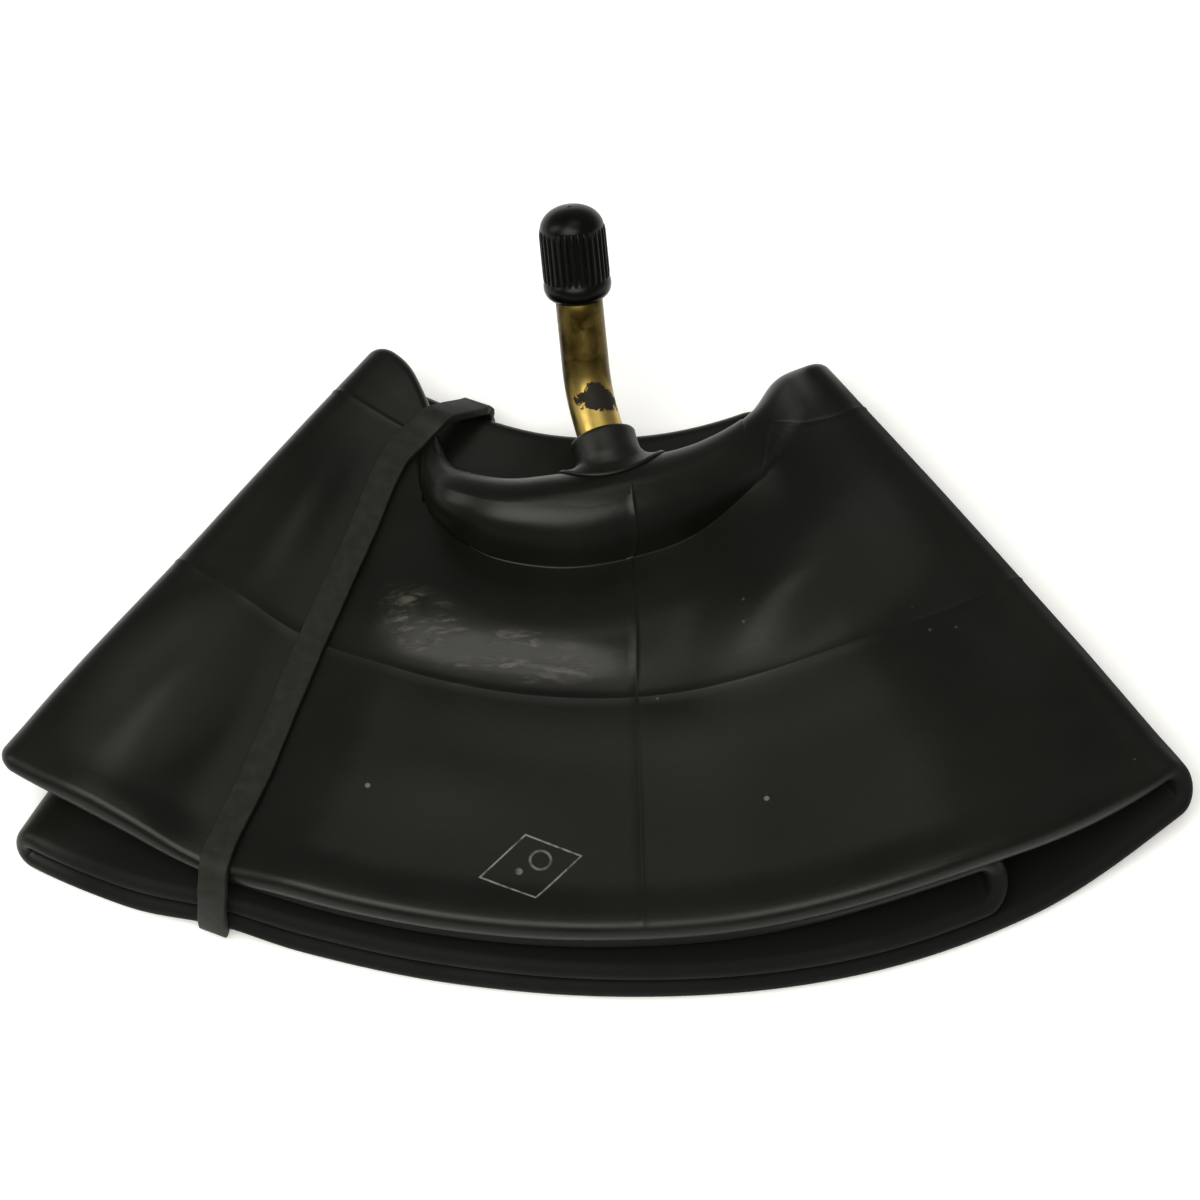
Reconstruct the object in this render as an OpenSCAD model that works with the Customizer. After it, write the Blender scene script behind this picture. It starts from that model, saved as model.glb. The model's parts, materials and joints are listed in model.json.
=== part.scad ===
// Inner tube for a small wheel, deflated, pressed flat, folded twice into a fan of four
// layers and held by a rubber band. A bent brass valve stands on the hub edge of the top layer.
// Millimetres, +Z up. The fan lies on z = 0 with its tread edge towards -Y. Polar angles run
// about the fan's centre: 0 points along -Y, and positive angles lie towards +X.

/* [Tube] */
// Radius of the tread edge of the top layer
tread_r = 160; // [150:1:170]
// Radius of the hub edge of the lower layers
hub_edge_r = 59.2; // [58.5:0.1:60]
// Half of the fan's angle, in degrees
fan_half = 38.1; // [35:0.1:39]
// Half the thickness of one flattened layer, which is one rubber wall and some trapped air
layer_half = 2.0; // [1.85:0.05:2.2]
// Roundness of the flattened tube's two edges
edge_r = 2.1; // [1.9:0.1:2.4]
// Clear space between neighbouring layers
layer_gap = 0.3; // [0.2:0.1:0.6]

/* [Valve] */
// Angle of the bend in the stem, in degrees
bend_angle = 43; // [30:1:60]
// Radius of the bend on the stem's axis
bend_r = 12; // [10:0.5:16]
// Radius of the stem's bare brass body
stem_r = 3.95; // [3.9:0.05:4.2]
// Length of straight stem between the collar and the bend
lower_leg = 3.6; // [2:0.1:6]
// Length of straight stem from the bend to the mouth
upper_leg = 21.6; // [21.4:0.1:26]
// Radius of the rubber collar round the stem
collar_r = 5.6; // [5.2:0.1:6]
// Height of the collar
collar_h = 6.8; // [6:0.1:8]

/* [Dust cap] */
// Length of the cap
cap_h = 16.1; // [15.6:0.1:18]
// Radius of the cap over its ribs
cap_r = 5.65; // [5.5:0.05:6]
// Number of grip ribs
cap_ribs = 30; // [24:1:34]

/* [Rubber band] */
// Width of the band
band_w = 4.8; // [4:0.1:6]
// Thickness of the band
band_t = 1.5; // [1.2:0.1:1.6]

/* [Hidden] */
$fn = 64;

rubber = [0.10, 0.10, 0.09];
brass = [0.74, 0.60, 0.28];
fan_centre = [0.4, 100.1];
fold_half = 1.8;            // half thickness of a layer where it turns at a fold
panel_steps = 20;           // stations along one layer
fold_steps = 6;             // stations round one fold
cap_steps = 3;              // rings round each edge of the flattened tube
flat_steps = 8;             // rings across the flat of the tube
half_steps = 2 * cap_steps + flat_steps;

// Outline of the top layer's hub edge, as [angle, radius]. The stiff valve patch pulls it in.
hub_outline = [[-39, 59.6], [-33, 60.2], [-27.5, 63.6], [-24.4, 66.5], [-21, 71.5], [-17, 75],
               [-12, 76.6], [-6, 76], [4.5, 73], [14, 70.3], [21, 67.2], [28, 62], [33, 60.3],
               [39, 59.7]];
// Half height of the puffed lip along that edge, as [angle, half height]
lip_height = [[-32, 2.1], [-28, 2.4], [-24, 3.8], [-20, 5.6], [-14, 6.7], [-5, 7], [6, 6.9],
              [14, 6], [20, 4.9], [27, 3.3], [33, 2.6], [38, 2.3]];
// How far the tread edge stands out from tread_r, as [angle, distance]: the top layer's, and
// that of the two lower layers
upper_rim = [[-38, 2.6], [-28, 0.8], [0, 0], [25, 0], [38, -1.6]];
lower_rim = [[-38, 7.4], [-30, 5.4], [-22, 2], [-10, 1.6], [0, 2.2], [15, 3.7], [25, 3.2],
             [38, 1.4]];
// Line of the rubber band, as [radius, angle]
band_line = [[57, -20.8], [60, -21.4], [68, -24.4], [76, -26.4], [82, -26.4], [93, -25.5],
             [117, -24.5], [141, -23.6], [158, -23.4], [166, -22.8]];

valve_angle = 1.4;          // where the valve stands on the hub edge
valve_yaw = 16;             // lean of the collar towards -X
valve_lift = 8;             // rise of the collar above level
bend_roll = 7;              // turn of the bend's plane about the collar
foot_r = 9.2;               // the collar's foot
patch_r = 24;               // the vulcanised patch under it
stem_flange = 1.2;          // thickness of the stem's flange inside the foot
thread_r = 3.85;            // outside thread of the stem, over its crests
thread_l = 9.3;             // length of the thread under the cap
core_thread_r = 2.65;       // inside thread of the stem's mouth
core_bore_r = 2.1;
air_r = 1.6;
mouth_depth = 7;            // depth of the inside thread
seat_depth = 2.5;           // length of the gasket's taper seat
core_depth = 20.8;          // depth of the core's bore
running = 0.05;             // radial clearance of turning parts

// ---------- curves ----------
function unit_step(t) = let (c = max(0, min(1, t))) c * c * (3 - 2 * c);
function hump(d, half) = unit_step(1 - abs(d) / half);
function mix(a, b, t) = a + (b - a) * t;
function hermite(t, a, b, ta, tb) =
    let (u = t * t, v = u * t)
    (2 * v - 3 * u + 1) * a + (3 * u - 2 * v) * b + (v - 2 * u + t) * ta + (v - u) * tb;
function key_slope(k, i) =
    i == 0 || i == len(k) - 1 ? 0 : (k[i + 1][1] - k[i - 1][1]) / (k[i + 1][0] - k[i - 1][0]);
// A smooth curve through the keys, level at its ends
function keyed(x, k, i = 0) =
    x <= k[0][0] ? k[0][1] :
    i >= len(k) - 1 ? k[len(k) - 1][1] :
    x > k[i + 1][0] ? keyed(x, k, i + 1) :
    let (w = k[i + 1][0] - k[i][0])
    hermite((x - k[i][0]) / w, k[i][1], k[i + 1][1], w * key_slope(k, i), w * key_slope(k, i + 1));
function degrees(length, r) = length / r * 180 / PI;
function polar(r, a, z) = [fan_centre[0] + r * sin(a), fan_centre[1] - r * cos(a), z];

// ---------- the folded tube ----------
// Layers are numbered from the top. Layers 1 and 4 meet at the right fold, which wraps the
// inner right fold between 2 and 3; 1 meets 2 and 3 meets 4 at the two left folds.
function hub_r(k, a) =
    k == 1 ? keyed(a, hub_outline) :
    k == 2 ? hub_edge_r + 1.5 + 0.75 * (keyed(a, hub_outline) - hub_edge_r) :
    k == 3 ? hub_edge_r + 0.3 : hub_edge_r;
function rim_r(k, a) =
    tread_r + (k == 1 ? keyed(a, upper_rim) : k == 2 ? -1.2 : keyed(a, lower_rim) + k - 3);

// Squeeze of the rubber band, from 0 to 1 under it
function squeeze(a, r) = hump((a - keyed(r, band_line)) * r * PI / 180, 15);

// Slack panel between the lip and the seam, falling steeply on the left and gently on the right
function panel_puff(a, r) =
    let (fall = mix(9, 24, unit_step((a + 2) / 14)))
    2 * unit_step((25 - abs(a + 1)) / 9) * unit_step((112 + 0.35 * fall - r) / fall);
// Roll along the hub edge, round on top and ending in a crease
function hub_puff(a, r) =
    let (u = max(0, min(1, (r - hub_r(1, a) - lip_reach(a)) / 10)))
    let (floor = panel_puff(a, r))
    floor + max(keyed(a, lip_height) - layer_half - floor, 0) * pow(1 - pow(u, 2.5), 1.5);
// The rubber stays fuller along its tread edge
function tread_bulge(a, r) = 0.5 * unit_step((r - rim_r(1, a) + 9) / 7);
function lip_reach(a) = edge_r + 1.15 * (keyed(a, lip_height) - edge_r);
function half_thickness(k, a, r) =
    let (free = layer_half
             + (k == 1 ? hub_puff(a, r) + tread_bulge(a, r) : 0))
    mix(free, 1.72, 0.9 * squeeze(a, r));

function right_rise(a) = 3.8 * unit_step((a - 25) / 13);
function left_gap(a, r) = 2.8 * unit_step((-a - 25) / 9) * unit_step((r - 105) / 45);
function fold_gap(a) = 2.6 * hump(a - 21, 15);
function gap(k, a, r) =
    let (free = layer_gap + (k == 2 ? 0.6 + left_gap(a, r) + fold_gap(a) : 0))
    mix(free, 0.15, squeeze(a, r));

// Height of a layer's lower wall
function under(k, a, r) =
    k == 4 ? right_rise(a) + (band_t + 0.25) * squeeze(a, r) :
    k == 1 ? (let (b = min(a, 21)) under(2, b, r) + 2 * half_thickness(2, b, r) + gap(1, b, r))
             - 6.8 * unit_step((a - 21) / 16) :
    under(k + 1, a, r) + 2 * half_thickness(k + 1, a, r) + gap(k, a, r);
function middle(k, a, r) = under(k, a, r) + half_thickness(k, a, r);
function slope(k, a, r) = (middle(k, a + 0.3, r) - middle(k, a - 0.3, r)) / (0.6 * r * PI / 180);

// Folds: [upper-to-next layer pair, direction, tip angle at the hub, at the tread, tip length]
FOLDS = [[1, 4, 1, fan_half + 1.1, fan_half - 0.4, 4.6],
         [4, 3, -1, -fan_half - 1, -35.8, 4.1],
         [3, 2, 1, 28, 24.6, 5.0],
         [2, 1, -1, -fan_half - 1.8, -fan_half, 4.1]];
function fold_angle(f, r) =
    mix(f[3], f[4], (r - 60) / 100) - f[2] * degrees(f[5], r);
// The walk round the ring: four layers, each followed by its fold
WALK = [[1, 3, 0], [4, 0, 1], [3, 1, 2], [2, 2, 3]]; // [layer, fold before, fold after]

// [angle, middle height, tangential and vertical part of the side's normal, half thickness]
function layer_station(leg, t, r) =
    let (k = leg[0],
         a = mix(fold_angle(FOLDS[leg[1]], r), fold_angle(FOLDS[leg[2]], r), t),
         s = slope(k, a, r), d = FOLDS[leg[2]][2], n = sqrt(1 + s * s),
         ends = max(unit_step(1 - t * 12), unit_step(1 - (1 - t) * 12)))
    [a, middle(k, a, r), -s * d / n, d / n, mix(half_thickness(k, a, r), fold_half, ends)];
function fold_station(f, t, r) =
    let (a = fold_angle(f, r), d = f[2], m = 4 * (f[5] - fold_half),
         za = middle(f[0], a, r), zb = middle(f[1], a, r),
         sa = m * d * slope(f[0], a, r), sb = -m * d * slope(f[1], a, r),
         s = hermite(t, 0, 0, m * d, -m * d), z = hermite(t, za, zb, sa, sb),
         e = 0.01,
         ds = hermite(t + e, 0, 0, m * d, -m * d) - hermite(t - e, 0, 0, m * d, -m * d),
         dz = hermite(t + e, za, zb, sa, sb) - hermite(t - e, za, zb, sa, sb),
         n = norm([ds, dz]))
    [a + degrees(s, r), z, -dz / n, ds / n, fold_half];
function station(leg, fold, t, r) =
    fold ? fold_station(FOLDS[leg[2]], t, r) : layer_station(leg, t, r);

// Step h across the tube from the hub edge to the tread edge: [distance from the hub edge,
// share of the half thickness]
function across(h, width, reach) =
    h <= cap_steps ? (let (p = 90 * h / cap_steps) [reach * (1 - cos(p)), sin(p)]) :
    h >= half_steps - cap_steps ?
        (let (p = 90 * (half_steps - h) / cap_steps) [width - edge_r * (1 - cos(p)), sin(p)]) :
    [mix(reach, width - edge_r, (h - cap_steps) / flat_steps), 1];

function nominal(leg, fold, t) =
    fold ? fold_angle(FOLDS[leg[2]], 65) :
    mix(fold_angle(FOLDS[leg[1]], 65), fold_angle(FOLDS[leg[2]], 65), t);
function tube_point(leg, fold, t, h, side) =
    let (a = nominal(leg, fold, t), k = leg[0], next = FOLDS[leg[2]][1], e = unit_step(t),
         r0 = fold ? mix(hub_r(k, a), hub_r(next, a), e) : hub_r(k, a),
         r1 = fold ? mix(rim_r(k, a), rim_r(next, a), e) : rim_r(k, a),
         reach = !fold && k == 1 ? lip_reach(a) : edge_r,
         w = across(h, r1 - r0, reach),
         m = station(leg, fold, t, r0 + max(w[0], reach)),
         p = polar(r0 + w[0], m[0], m[1]), off = side * w[1] * m[4])
    p + off * [m[2] * cos(m[0]), m[2] * sin(m[0]), m[3]];

function section(leg, fold, t) =
    [for (h = [0 : half_steps]) tube_point(leg, fold, t, h, 1),
     for (h = [half_steps - 1 : -1 : 1]) tube_point(leg, fold, t, h, -1)];
tube_sections =
    [for (leg = WALK)
        each [for (i = [0 : panel_steps - 1]) section(leg, false, i / panel_steps),
              for (i = [0 : fold_steps - 1]) section(leg, true, i / fold_steps)]];

// Skin of a closed ring of closed sections, all with the same number of points
module ring_skin(sections) {
    n = len(sections);
    m = len(sections[0]);
    polyhedron(
        points = [for (s = sections) each s],
        faces = [for (i = [0 : n - 1], j = [0 : m - 1])
            let (a = i * m + j, b = i * m + (j + 1) % m,
                 c = ((i + 1) % n) * m + (j + 1) % m, d = ((i + 1) % n) * m + j)
            each [[a, c, b], [a, d, c]]]);
}

module tube() color(rubber) ring_skin(tube_sections);

// ---------- the patch ----------
// Point on the top layer near its hub edge, l millimetres round the edge from its tip
function lip_point(a, l) =
    let (reach = lip_reach(a), quarter = reach * PI / 2,
         q = abs(l) < quarter ? reach * (1 - cos(90 * abs(l) / quarter)) : reach + abs(l) - quarter,
         c = abs(l) < quarter ? sin(90 * abs(l) / quarter) : 1,
         r = hub_r(1, a) + q, e = hub_r(1, a) + max(q, reach))
    polar(r, a, middle(1, a, e) + sign(l) * c * half_thickness(1, a, e));
function lip_normal(a, l) =
    let (n = cross(lip_point(a, l + 0.4) - lip_point(a, l - 0.4),
                   lip_point(a + 0.3, l) - lip_point(a - 0.3, l)))
    n / norm(n);
function patch_point(ring, turn, off) =
    let (a = valve_angle + degrees(ring * cos(turn), 74), l = ring * sin(turn))
    lip_point(a, l) + off * lip_normal(a, l);

module valve_patch() {
    rings = 7;
    turns = 30;
    top = [for (i = [1 : rings], j = [0 : turns - 1])
        patch_point(patch_r * i / rings, j * 360 / turns, i == rings ? 0.25 : 0.8)];
    low = [for (i = [1 : rings], j = [0 : turns - 1])
        patch_point(patch_r * i / rings, j * 360 / turns, -0.3)];
    n = rings * turns;
    last = (rings - 1) * turns;
    color(rubber) polyhedron(
        points = concat(top, low, [patch_point(0.01, 0, 0.8), patch_point(0.01, 0, -0.3)]),
        faces = concat(
            [for (i = [0 : rings - 2], j = [0 : turns - 1])
                let (a = i * turns + j, b = i * turns + (j + 1) % turns)
                each [[a, b, b + turns], [a, b + turns, a + turns],
                      [n + a, n + b + turns, n + b], [n + a, n + a + turns, n + b + turns]]],
            [for (j = [0 : turns - 1]) let (b = (j + 1) % turns)
                each [[2 * n, b, j], [2 * n + 1, n + j, n + b],
                      [last + j, last + b, n + last + b], [last + j, n + last + b, n + last + j]]]));
}

// ---------- the valve ----------
lip_mid = hub_r(1, valve_angle);
valve_root = polar(lip_mid + 1.2, valve_angle, middle(1, valve_angle, lip_mid + 9) + 0.8);

// Local frame of the collar: z along the collar, origin at its foot
module at_collar() {
    translate(valve_root) rotate([0, 0, valve_yaw]) rotate([-(90 - valve_lift), 0, 0])
        rotate([0, 0, bend_roll]) children();
}
// Local frame of the stem's mouth: z out of the mouth, origin on its rim
module at_mouth() {
    at_collar() translate([0, -bend_r, collar_h + lower_leg]) rotate([bend_angle, 0, 0])
        translate([0, bend_r, upper_leg]) children();
}

// Bent rod of radius r from height base to the mouth, in the collar's frame
module bent_rod(r, base, top) {
    start = collar_h + lower_leg;
    translate([0, 0, base]) cylinder(r = r, h = start - base);
    translate([0, -bend_r, start]) rotate([90, 0, 90])
        rotate_extrude(angle = bend_angle) translate([bend_r, 0]) circle(r = r);
    translate([0, -bend_r, start]) rotate([bend_angle, 0, 0]) translate([0, bend_r, 0])
        cylinder(r = r, h = top);
}

module valve_base() color(rubber) at_collar() difference() {
    rotate_extrude() polygon([[0, -1.6], [foot_r - 1.5, -1.6], [foot_r, -0.4], [foot_r - 1.4, 0.5],
        [collar_r + 1.1, 0.9], [collar_r, 1.8], [collar_r, collar_h - 0.6],
        [collar_r - 0.6, collar_h], [0, collar_h]]);
    translate([0, 0, -2]) cylinder(r = stem_r, h = collar_h + 3);
    translate([0, 0, -2]) cylinder(r = stem_r + 1.6, h = 2 + stem_flange);
}

module valve_stem() color(brass) difference() {
    at_collar() union() {
        cylinder(r = stem_r + 1.6, h = stem_flange);
        bent_rod(stem_r, 0, upper_leg - thread_l);
        translate([0, -bend_r, collar_h + lower_leg]) rotate([bend_angle, 0, 0])
            translate([0, bend_r, upper_leg - thread_l]) cylinder(r = thread_r, h = thread_l);
    }
    at_collar() bent_rod(air_r, -1, upper_leg - core_depth + 0.5);
    at_mouth() translate([0, 0, -core_depth]) cylinder(r = core_bore_r, h = core_depth + 1);
    at_mouth() translate([0, 0, -mouth_depth - seat_depth])
        cylinder(r1 = core_bore_r, r2 = core_thread_r - 0.2, h = seat_depth);
    at_mouth() translate([0, 0, -mouth_depth]) cylinder(r = core_thread_r, h = mouth_depth + 1);
}

// ---------- the valve core ----------
barrel_top = -5.4;
barrel_low = -16;
neck_r = 1.35;
swivel_r = 1.8;             // head of the barrel, trapped in the plug
pin_r = 0.62;
spring_r = 1.12;
spring_wire = 0.16;
spring_turns = 5;
spring_low = -14.9;
spring_high = -11.1;

module tube_part(outer, inner, low, high) translate([0, 0, low]) difference() {
    cylinder(r = outer, h = high - low);
    translate([0, 0, -1]) cylinder(r = inner, h = high - low + 2);
}

module core_plug() color(brass) at_mouth() difference() {
    union() {
        translate([0, 0, -6.5]) cylinder(r = core_thread_r - running, h = 3.4);
        translate([0, 0, -3.2]) intersection() {
            cylinder(r = core_thread_r - running, h = 2.3);
            translate([-3, -1.25, 0]) cube([6, 2.5, 3]);
        }
    }
    translate([0, 0, -7]) cylinder(r = 1, h = 7);
    translate([0, 0, -7]) cylinder(r = neck_r + running, h = 1);
    translate([0, 0, -6.2]) cylinder(r = swivel_r + running, h = 6.3 + barrel_top);
}
module core_barrel() color(brass) at_mouth() difference() {
    union() {
        translate([0, 0, -9.8]) cylinder(r = neck_r, h = 4);
        translate([0, 0, -6.1]) cylinder(r = swivel_r, h = 6.1 + barrel_top);
        translate([0, 0, barrel_low]) cylinder(r = 1.95, h = -9.6 - barrel_low);
    }
    translate([0, 0, -11]) cylinder(r = 0.9, h = 12);
    translate([0, 0, barrel_low + 0.6]) cylinder(r = 1.5, h = -10.4 - barrel_low - 0.6);
    translate([0, 0, barrel_low - 1]) cylinder(r = 0.9, h = 2);
}
module core_gasket() color([0.75, 0.12, 0.10]) at_mouth() difference() {
    translate([0, 0, -9.5]) cylinder(r1 = core_bore_r - 0.05, r2 = core_thread_r - 0.28, h = 2.5);
    translate([0, 0, -10]) cylinder(r = neck_r, h = 4);
}
module core_pin() color(brass) at_mouth() union() {
    translate([0, 0, -18.4]) cylinder(r = pin_r, h = 17.9);
    translate([0, 0, -1.2]) cylinder(r = 0.85, h = 0.7);
    translate([0, 0, spring_high]) cylinder(r = 1.3, h = 0.35);
    translate([0, 0, -18.7]) cylinder(r = 0.95, h = 0.4);
}
module core_spring() {
    n = spring_turns * 12;
    low = spring_low + spring_wire;
    high = spring_high - spring_wire;
    rings = [for (i = [0 : n]) [for (j = [0 : 5])
        let (t = i * 30, p = j * 60, r = spring_r + spring_wire * cos(p))
        [r * cos(t), r * sin(t), mix(low, high, i / n) + spring_wire * sin(p)]]];
    color("silver") at_mouth() polyhedron(
        points = [for (s = rings) each s],
        faces = concat(
            [for (i = [0 : n - 1], j = [0 : 5])
                let (a = i * 6 + j, b = i * 6 + (j + 1) % 6)
                each [[a, b, b + 6], [a, b + 6, a + 6]]],
            [for (j = [1 : 4]) [0, j + 1, j]],
            [for (j = [1 : 4]) [n * 6, n * 6 + j, n * 6 + j + 1]]));
}
module core_spring_cup() color(brass) at_mouth()
    tube_part(1.42, 0.75, barrel_low + 0.65, spring_low - 0.02);
module core_cup() color(brass) at_mouth() difference() {
    translate([0, 0, -18.3]) cylinder(r = 1.9, h = 2.15);
    translate([0, 0, -17.1]) cylinder(r = 1.62, h = 2);
    translate([0, 0, -19]) cylinder(r = pin_r, h = 4);
}
module core_seal() color([0.13, 0.13, 0.13]) at_mouth() tube_part(1.62, pin_r, -17.1, barrel_low - 0.05);

// ---------- the dust cap ----------
cap_bore_r = thread_r + 0.08;
cap_seat = -9;              // height of the cap's open end, from the stem's mouth
cap_seal_z = 9.06;          // the seal's lower face, just clear of the stem's rim
cap_seal_t = 1;
cap_chamber_r = 2.9;

module cap_outline() {
    side = cap_r - 0.3;
    dome_low = 11.9;
    dome_h = cap_h - dome_low;
    polygon(concat(
        [[0, 0], [4.5, 0], [5.15, 0.45], [cap_r - 0.1, 1.5], [cap_r, 2.3], [cap_r - 0.1, 2.9],
         [side, 3.3]],
        [for (p = [0 : 9 : 81]) [side * pow(cos(p), 0.8), dome_low + dome_h * sin(p)]],
        [[0, cap_h]]));
}
module dust_cap() color([0.12, 0.12, 0.13]) at_mouth() translate([0, 0, cap_seat]) difference() {
    union() {
        rotate_extrude() cap_outline();
        for (i = [0 : cap_ribs - 1]) rotate([0, 0, i * 360 / cap_ribs])
            translate([cap_r - 0.36, 0, 2.6]) cylinder(r = 0.36, h = 9.2, $fn = 24);
    }
    translate([0, 0, -1]) cylinder(r = cap_bore_r, h = 1 + cap_seal_z);
    translate([0, 0, cap_seal_z - 0.1]) cylinder(r = 4.45, h = cap_seal_t + 0.15);
    translate([0, 0, cap_seal_z]) cylinder(r = cap_chamber_r, h = 4.9);
}
module cap_seal() color([0.55, 0.10, 0.08]) at_mouth() translate([0, 0, cap_seat])
    tube_part(4.35, 3, cap_seal_z, cap_seal_z + cap_seal_t);

// ---------- the rubber band ----------
// The band's middle line: over the top layer, down past the tread edge, back underneath
// and up past the hub edge. Each entry is [radius, height].
function band_top(r) =
    let (a = keyed(r, band_line))
    under(1, a, r) + 2 * half_thickness(1, a, r) + band_t / 2 + 0.15;
band_side = rim_r(4, -23) + band_t / 2 + 0.3;
band_hub = hub_edge_r - band_t / 2 - 0.4;
band_route = concat(
    [[band_hub + 0.2, 8], [band_hub + 1, 10], [band_hub + 2.6, 11.6], [64.5, 15.2], [68, 17.6]],
    [for (r = [72, 78, 86, 96, 106, 116, 126, 136, 146, 153, 157.5]) [r, band_top(r)]],
    [[160.4, band_top(156) - 0.5], [162.6, 13.6], [band_side - 0.6, 10.5], [band_side, 6.5],
     [band_side - 0.1, 3.2], [band_side - 1.2, 1.3], [band_side - 3.6, band_t / 2 + 0.08]],
    [for (r = [152 : -12 : 68]) [r, band_t / 2 + 0.08]],
    [[band_hub + 4, band_t / 2 + 0.08], [band_hub + 1, 1.5], [band_hub, 3.4], [band_hub, 5.8]]);

module rubber_band() {
    n = len(band_route);
    line = [for (p = band_route) polar(p[0], keyed(p[0], band_line), p[1])];
    function along(i) = let (d = line[(i + 1) % n] - line[(i + n - 1) % n]) d / norm(d);
    function sideways(i) =
        let (a = keyed(band_route[i][0], band_line), d = [cos(a), sin(a), 0],
             t = along(i), s = d - (d * t) * t)
        s / norm(s);
    color([0.14, 0.14, 0.13]) ring_skin([for (i = [0 : n - 1])
        let (s = sideways(i) * band_w / 2, o = cross(along(i), sideways(i)) * band_t / 2)
        [line[i] + s + o, line[i] - s + o, line[i] - s - o, line[i] + s - o]]);
}

tube();
valve_patch();
valve_base();
valve_stem();
core_plug();
core_barrel();
core_gasket();
core_pin();
core_spring();
core_spring_cup();
core_cup();
core_seal();
dust_cap();
cap_seal();
rubber_band();
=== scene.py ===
"""The looks of a folded inner tube with a bent valve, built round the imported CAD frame.

Lengths are in millimetres and are scaled to metres where a mesh is made. The fan of four layers
is laid out in polar form about the point where its two sides would meet: an angle of 0 points
along -Y and positive angles lie towards +X. Layers are numbered from the top.
"""
import json
import math

import bpy
import numpy as np
from mathutils import Matrix, Vector


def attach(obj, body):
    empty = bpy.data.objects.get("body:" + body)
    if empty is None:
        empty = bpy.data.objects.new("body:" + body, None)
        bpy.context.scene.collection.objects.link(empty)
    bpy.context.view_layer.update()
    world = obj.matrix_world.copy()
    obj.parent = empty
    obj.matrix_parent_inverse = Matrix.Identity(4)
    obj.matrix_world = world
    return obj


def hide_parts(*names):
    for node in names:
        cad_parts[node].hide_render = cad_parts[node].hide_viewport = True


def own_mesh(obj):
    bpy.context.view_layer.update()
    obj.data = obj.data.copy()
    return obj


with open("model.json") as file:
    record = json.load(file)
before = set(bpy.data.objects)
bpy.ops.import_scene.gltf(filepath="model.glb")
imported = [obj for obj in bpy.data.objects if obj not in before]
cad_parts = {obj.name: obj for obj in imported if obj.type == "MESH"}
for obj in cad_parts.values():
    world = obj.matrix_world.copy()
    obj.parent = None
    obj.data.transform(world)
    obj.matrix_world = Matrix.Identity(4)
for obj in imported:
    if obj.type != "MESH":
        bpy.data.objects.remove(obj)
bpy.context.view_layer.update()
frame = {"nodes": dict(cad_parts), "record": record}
MM = 0.001

# ---------- driving sizes, as in the CAD ----------
FAN_CENTRE = np.array([0.4, 100.1])
FAN_HALF = 38.1
TREAD_R = 160.0
HUB_R = 59.2
LAYER_HALF = 2.0
FOLD_HALF = 1.8
EDGE_R = 2.1
LAYER_GAP = 0.3
SEAM_R = 113.0
SEAM_LINE = [(-39, 0.6), (-25, 1.8), (-9, 3.1), (6, 3.1), (20, 1.8), (39, 0.4)]
SHOULDER_R = 71.5
SPLICE_ANGLE = 2.8

BEND_ANGLE = 43.0
BEND_R = 12.0
STEM_R = 3.95
LOWER_LEG = 3.6
UPPER_LEG = 21.6
COLLAR_R = 5.6
COLLAR_H = 6.8
THREAD_R = 3.85
THREAD_L = 9.3
THREAD_PITCH = 0.794
THREAD_CREST = 0.32
SPRING_R = 1.12
SPRING_WIRE = 0.16
SPRING_TURNS = 5.0
SPRING_LOW = -14.9
SPRING_HIGH = -11.1
VALVE_ANGLE = 1.4
ROOT_RISE = 0.8
VALVE_YAW = 16.0
VALVE_LIFT = 8.0
BEND_ROLL = 7.0
FOOT_R = 9.2
PATCH_R = 24.0

CAP_H = 16.1
CAP_RIBS = 30
CAP_SEAT = -9.0
CAP_SIDE = 5.3
CAP_SHOULDER = 11.9

BAND_W = 4.8
BAND_T = 1.5

UPPER_RIM = [(-38, 2.6), (-28, 0.8), (0, 0), (25, 0), (38, -1.6)]
LOWER_RIM = [(-38, 7.4), (-30, 5.4), (-22, 2), (-10, 1.6), (0, 2.2), (15, 3.7), (25, 3.2),
             (38, 1.4)]
HUB_OUTLINE = [(-39, 59.6), (-33, 60.2), (-27.5, 64), (-24.4, 67.9), (-21, 73.6), (-17, 77.2),
               (-12, 78), (-6, 76.4), (4.5, 73), (14, 70.8), (21, 67.6), (28, 61.4), (33, 59.6),
               (39, 59.8)]
LIP_HEIGHT = [(-32, 2.1), (-28, 2.2), (-24, 2.9), (-20, 4.3), (-14, 6.1), (-5, 6.9), (6, 6.7),
              (14, 5.2), (20, 3.7), (27, 2.6), (33, 2.3), (38, 2.2)]
LIP_ROLL = [(-24, 4), (-17, 4.6), (-11, 6.6), (-3, 8.7), (9, 8.5), (16, 7.4), (23, 7)]
BAND_LINE = [(57, -20.8), (60, -21.4), (68, -24.4), (76, -26.4), (82, -26.4), (93, -25.5),
             (117, -24.5), (141, -23.6), (158, -23.4), (166, -22.8)]

# Swells and dents of the top layer: (x, y, half length, half width, turn, height)
SWELLS = [(35, 6.5, 19, 6.5, 49, 1.4), (24, 13, 16, 8, 50, -0.4), (-72, -15, 18, 7.5, 53, 1.7),
          (-47, 22.4, 14, 6, 62, 0.8), (15, -24, 9, 8, 0, 0.3), (-27, -30, 14, 8, -20, 0.35),
          (68, -14, 16, 9, 40, 0.7), (-88, -24, 8, 5, 50, 0.4)]


# ---------- curves ----------
def unit_step(t):
    c = np.clip(t, 0, 1)
    return c * c * (3 - 2 * c)


def hump(d, half):
    return unit_step(1 - np.abs(d) / half)


def mix(a, b, t):
    return a + (b - a) * t


def hermite(t, a, b, ta, tb):
    ends = ((2 * t - 3) * t * t + 1) * a + (3 - 2 * t) * t * t * b
    return ends + t * (1 - t) ** 2 * ta + (t - 1) * t * t * tb


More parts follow.
